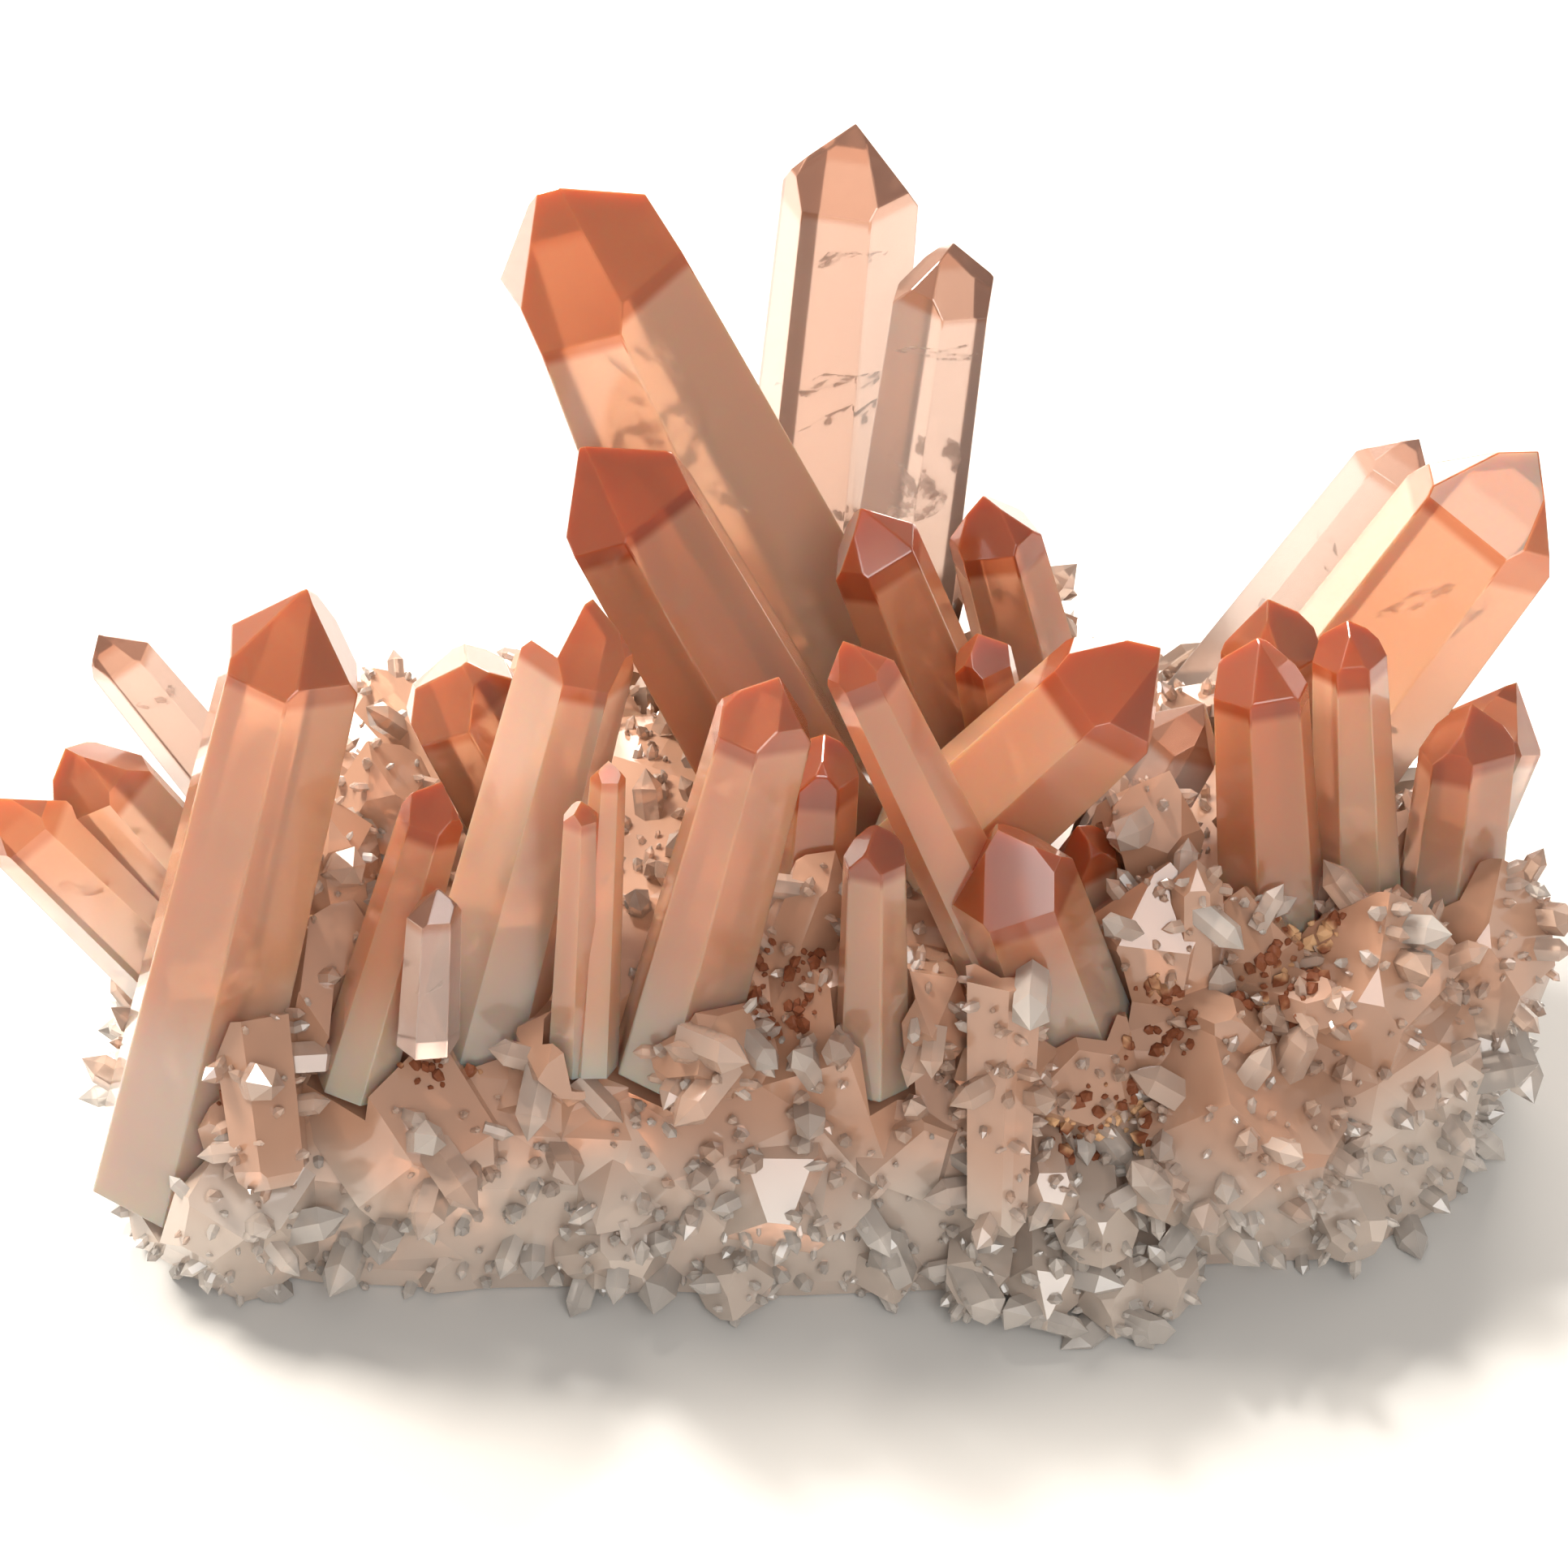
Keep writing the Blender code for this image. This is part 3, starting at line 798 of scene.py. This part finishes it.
# %% Build the bed
bm = clean_copy("matrix")
bed = bpy.data.meshes.new("bed")
bm.to_mesh(bed)
bm.free()
mark_bed(bed)
bed.transform(Matrix.Scale(MM, 4))
finish_piece("bed", bed, materials["bed"], "matrix")
print(len(bed.polygons), "faces in the bed")

# %% [markdown]
# ## A tree that grows things on a surface
#
# Thousands of tiny crystals, the druse, cover the bed, and grains of iron oxide sit in its hollows. Both
# are one shape repeated on a surface, so one Geometry Nodes tree makes them: it spreads points over the
# open faces, drops those too far from the places where the thing occurs, and puts a turned and scaled
# copy on the rest.


# %% Build the growing tree
def growing_tree():
    tree = bpy.data.node_groups.new("grow on a surface", "GeometryNodeTree")
    tree.is_modifier = True
    sockets = [
        ("Geometry", "NodeSocketGeometry"),
        ("Thing", "NodeSocketObject"),
        ("Places", "NodeSocketObject"),
        ("Reach", FLOAT),
        ("Density", FLOAT),
        ("Smallest", FLOAT),
        ("Largest", FLOAT),
        ("Lean", FLOAT),
        ("Seed", "NodeSocketInt"),
        ("Finish", "NodeSocketMaterial"),
    ]
    for label, kind in sockets:
        tree.interface.new_socket(label, in_out="INPUT", socket_type=kind)
    tree.interface.new_socket("Geometry", in_out="OUTPUT", socket_type="NodeSocketGeometry")
    w = Wires(tree)
    given = w.add("NodeGroupInput").outputs
    is_open = w.add("GeometryNodeInputNamedAttribute", {"Name": "open"}, data_type="FLOAT").outputs[0]
    chosen = w.math("GREATER_THAN", is_open, 0.5)
    spread = w.add(
        "GeometryNodeDistributePointsOnFaces",
        {"Mesh": given["Geometry"], "Selection": chosen, "Density": given["Density"], "Seed": given["Seed"]},
    )
    places = w.add("GeometryNodeObjectInfo", {"Object": given["Places"]})
    near = w.add("GeometryNodeProximity", {"Geometry": places.outputs["Geometry"]}, target_element="POINTS")
    far = w.math("GREATER_THAN", near.outputs["Distance"], given["Reach"])
    kept = w.add("GeometryNodeDeleteGeometry", {"Geometry": spread.outputs["Points"], "Selection": far})
    number = w.add("FunctionNodeRandomValue", {"Seed": given["Seed"]}, data_type="FLOAT")
    named = w.add(
        "GeometryNodeStoreNamedAttribute",
        {"Geometry": kept.outputs[0], "Name": "crystal", "Value": number.outputs[1]},
        data_type="FLOAT",
    )
    turn_seed = w.math("ADD", given["Seed"], 1)
    turn = w.add("FunctionNodeRandomValue", {"Seed": turn_seed}, data_type="FLOAT_VECTOR")
    back = w.math("MULTIPLY", given["Lean"], -1.0)
    low = w.add("ShaderNodeCombineXYZ", {0: back, 1: back})
    high = w.add("ShaderNodeCombineXYZ", {0: given["Lean"], 1: given["Lean"], 2: math.tau})
    w.fill(turn.inputs[0], low.outputs[0])
    w.fill(turn.inputs[1], high.outputs[0])
    turned = w.add("FunctionNodeEulerToRotation", {0: turn.outputs[0]})
    placed = w.add(
        "FunctionNodeRotateRotation",
        {"Rotation": spread.outputs["Rotation"], "Rotate By": turned.outputs[0]},
        rotation_space="LOCAL",
    )
    share = w.add("FunctionNodeRandomValue", {"Seed": w.math("ADD", given["Seed"], 2)}, data_type="FLOAT")
    size = w.add("ShaderNodeMapRange", {"Value": w.math("POWER", share.outputs[1], 2.0)})
    w.fill(size.inputs["To Min"], given["Smallest"])
    w.fill(size.inputs["To Max"], given["Largest"])
    thing = w.add("GeometryNodeObjectInfo", {"Object": given["Thing"], "As Instance": True})
    grown = w.add(
        "GeometryNodeInstanceOnPoints",
        {
            "Points": named.outputs[0],
            "Instance": thing.outputs["Geometry"],
            "Rotation": placed.outputs[0],
            "Scale": size.outputs[0],
        },
    )
    real = w.add("GeometryNodeRealizeInstances", {"Geometry": grown.outputs[0]})
    painted = w.add("GeometryNodeSetMaterial", {"Geometry": real.outputs[0], "Material": given["Finish"]})
    w.fill(w.add("NodeGroupOutput").inputs[0], painted.outputs[0])
    return tree


GROWING = growing_tree()
print(len(GROWING.nodes), "nodes in the tree")


# %% Grow one kind of thing
def grow(name, slot, **values):
    """A piece made of many copies, as a plain mesh that stays inside the CAD box."""
    host = link_object(name + " host", bed.copy())
    modifier = host.modifiers.new("grow", "NODES")
    modifier.node_group = GROWING
    for item in GROWING.interface.items_tree:
        if item.in_out == "INPUT" and item.name in values:
            modifier[item.identifier] = values[item.name]
    bpy.context.view_layer.update()
    graph = bpy.context.evaluated_depsgraph_get()
    mesh = bpy.data.meshes.new_from_object(host.evaluated_get(graph), depsgraph=graph)
    bpy.data.objects.remove(host)
    places = np.zeros(len(mesh.vertices) * 3, np.float32)
    mesh.vertices.foreach_get("co", places)
    places = places.reshape(-1, 3).clip(cad_box[0], cad_box[1])
    mesh.vertices.foreach_set("co", places.ravel())
    mesh.validate()
    mesh.update()
    piece = link_object(name, mesh)
    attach(piece, "root")
    print(name, len(mesh.polygons), "faces")


# %% [markdown]
# ## The druse
#
# The druse is short, stubby quartz points a millimetre or so long. One small point is built, with its foot
# sunk so that it grows out of the bed, and the tree above repeats it twice: once for the larger points and
# once for the fine glitter.

# %% Grow the druse
SMALL_SIDES = [0.36, 0.31, 0.38, 0.33, 0.36, 0.30]
SMALL_FOOT = -0.5
SMALL_SHOULDER = 0.52
SMALL_TIP = (0.03, -0.02, 1.0)


def small_point():
    """A six-sided point one millimetre tall, whose sides are uneven so that its shoulder is too."""
    bm = bmesh.new()
    foot, shoulder = [], []
    sides = len(SMALL_SIDES)
    for side, radius in enumerate(SMALL_SIDES):
        angle = side * math.tau / sides
        x, y = radius * math.cos(angle), radius * math.sin(angle)
        lift = 0.3 * (radius - 0.34) + 0.06 * (side % 2)
        foot.append(bm.verts.new((x, y, SMALL_FOOT)))
        shoulder.append(bm.verts.new((x, y, SMALL_SHOULDER + lift)))
    tip = bm.verts.new(SMALL_TIP)
    for side in range(sides):
        after = (side + 1) % sides
        bm.faces.new((foot[side], foot[after], shoulder[after], shoulder[side]))
        bm.faces.new((shoulder[side], shoulder[after], tip))
    bm.faces.new(foot[::-1])
    mesh = bpy.data.meshes.new("small point")
    bm.to_mesh(mesh)
    bm.free()
    mark_plain(mesh)
    mesh.transform(Matrix.Scale(MM, 4))
    return mesh


point = link_object("small point", small_point())
everywhere = {"Thing": point, "Places": point, "Reach": 1.0, "Finish": materials["druse"]}
grow("druse", "pale_quartz", **everywhere, Density=1.6e5, Smallest=0.7, Largest=2.7, Lean=0.5, Seed=3)
grow("fine_druse", "pale_quartz", **everywhere, Density=4.0e5, Smallest=0.35, Largest=1.0, Lean=0.6, Seed=7)

# %% [markdown]
# ## Iron oxide
#
# Rust-brown and cream grains sit where the points meet the bed. Colour alone would look flat there, so
# they are lumpy grains, repeated by the same tree, but only within a short reach of a few places.

# %% The finish of iron oxide
RUST_BROWN = (0.20, 0.055, 0.018, 1)
RUST_CREAM = (0.72, 0.42, 0.22, 1)


def rust_material():
    material = bpy.data.materials.new("iron oxide")
    material.use_nodes = True
    w = Wires(material.node_tree)
    shader = material.node_tree.nodes["Principled BSDF"]
    place = w.in_millimetres()
    patches = w.noise(place, 0.35, 3.0, 4.0)
    w.fill(shader.inputs["Base Color"], w.mix(w.ramp(patches, 0.50, 0.60), RUST_BROWN, RUST_CREAM))
    dust = w.noise(place, 4.0, 2.0, 1.0)
    w.fill(shader.inputs["Roughness"], w.ramp(dust, 0.3, 0.7, 0.6, 0.95))
    return material


# %% Put iron oxide in the hollows
RUST_PLACES = [
    (22.8, -14.5, 12.8),
    (23.5, -13.0, 15.0),
    (16.7, -17.0, 13.1),
    (14.5, -20.0, 9.3),
    (-21.5, -13.0, 14.0),
    (-24.5, -18.0, 11.5),
    (-31.0, -13.0, 10.0),
    (-15.3, -18.0, 13.0),
    (0.0, -16.0, 14.0),
]
GRAIN_SIZE = 0.5
GRAIN_LUMPS = 0.5
LUMP_SCALE = 2.3


def lumpy_grain():
    """A small ball whose corners are pushed in and out."""
    bm = bmesh.new()
    bmesh.ops.create_icosphere(bm, subdivisions=1, radius=GRAIN_SIZE * MM)
    for vert in bm.verts:
        vert.co *= 1 + GRAIN_LUMPS * noise.noise(vert.co / MM * LUMP_SCALE)
    mesh = bpy.data.meshes.new("grain")
    bm.to_mesh(mesh)
    bm.free()
    return mesh


spots = bpy.data.meshes.new("rust places")
spots.from_pydata([Vector(place) * MM for place in RUST_PLACES], [], [])
spots = link_object("rust places", spots)
grain = link_object("grain", lumpy_grain())
rust = {"Thing": grain, "Places": spots, "Reach": 0.0024, "Finish": rust_material()}
grow("iron_oxide", "stained_quartz", **rust, Density=2.2e6, Smallest=0.25, Largest=0.9, Lean=1.5, Seed=11)
for helper in (point, spots, grain):
    bpy.data.objects.remove(helper)
